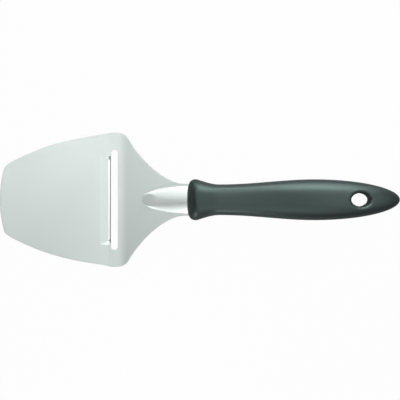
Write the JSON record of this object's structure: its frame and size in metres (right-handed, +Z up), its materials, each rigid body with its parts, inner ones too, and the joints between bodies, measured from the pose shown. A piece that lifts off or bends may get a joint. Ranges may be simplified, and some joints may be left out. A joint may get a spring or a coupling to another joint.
{
  "type": "cheese slicer",
  "caption": "Pull-type cheese slicer with a spade-shaped steel blade, a slot with a lanced cutting lip, a ribbed neck and a moulded plastic handle with a hang hole.",
  "frame": {"origin": "on the table under the middle of the overall length and width, with the slicer lying on its cutting edge and the end of its handle", "axes": "+X from the blade's tip to the handle's end, +Y to the left hand of someone who looks along +X, +Z up from the table to the blade's top side"},
  "size_m": [0.2397, 0.0804, 0.0288],
  "materials": {
    "blade_steel": "finely brushed stainless steel",
    "core_plastic": "plain moulded plastic, hidden",
    "grip_plastic": "fine matte moulded plastic, dark grey-green"
  },
  "bodies": {
    "root": {"blade": "blade_steel", "handle_core": "core_plastic", "handle_grip": "grip_plastic"}
  },
  "joints": []
}
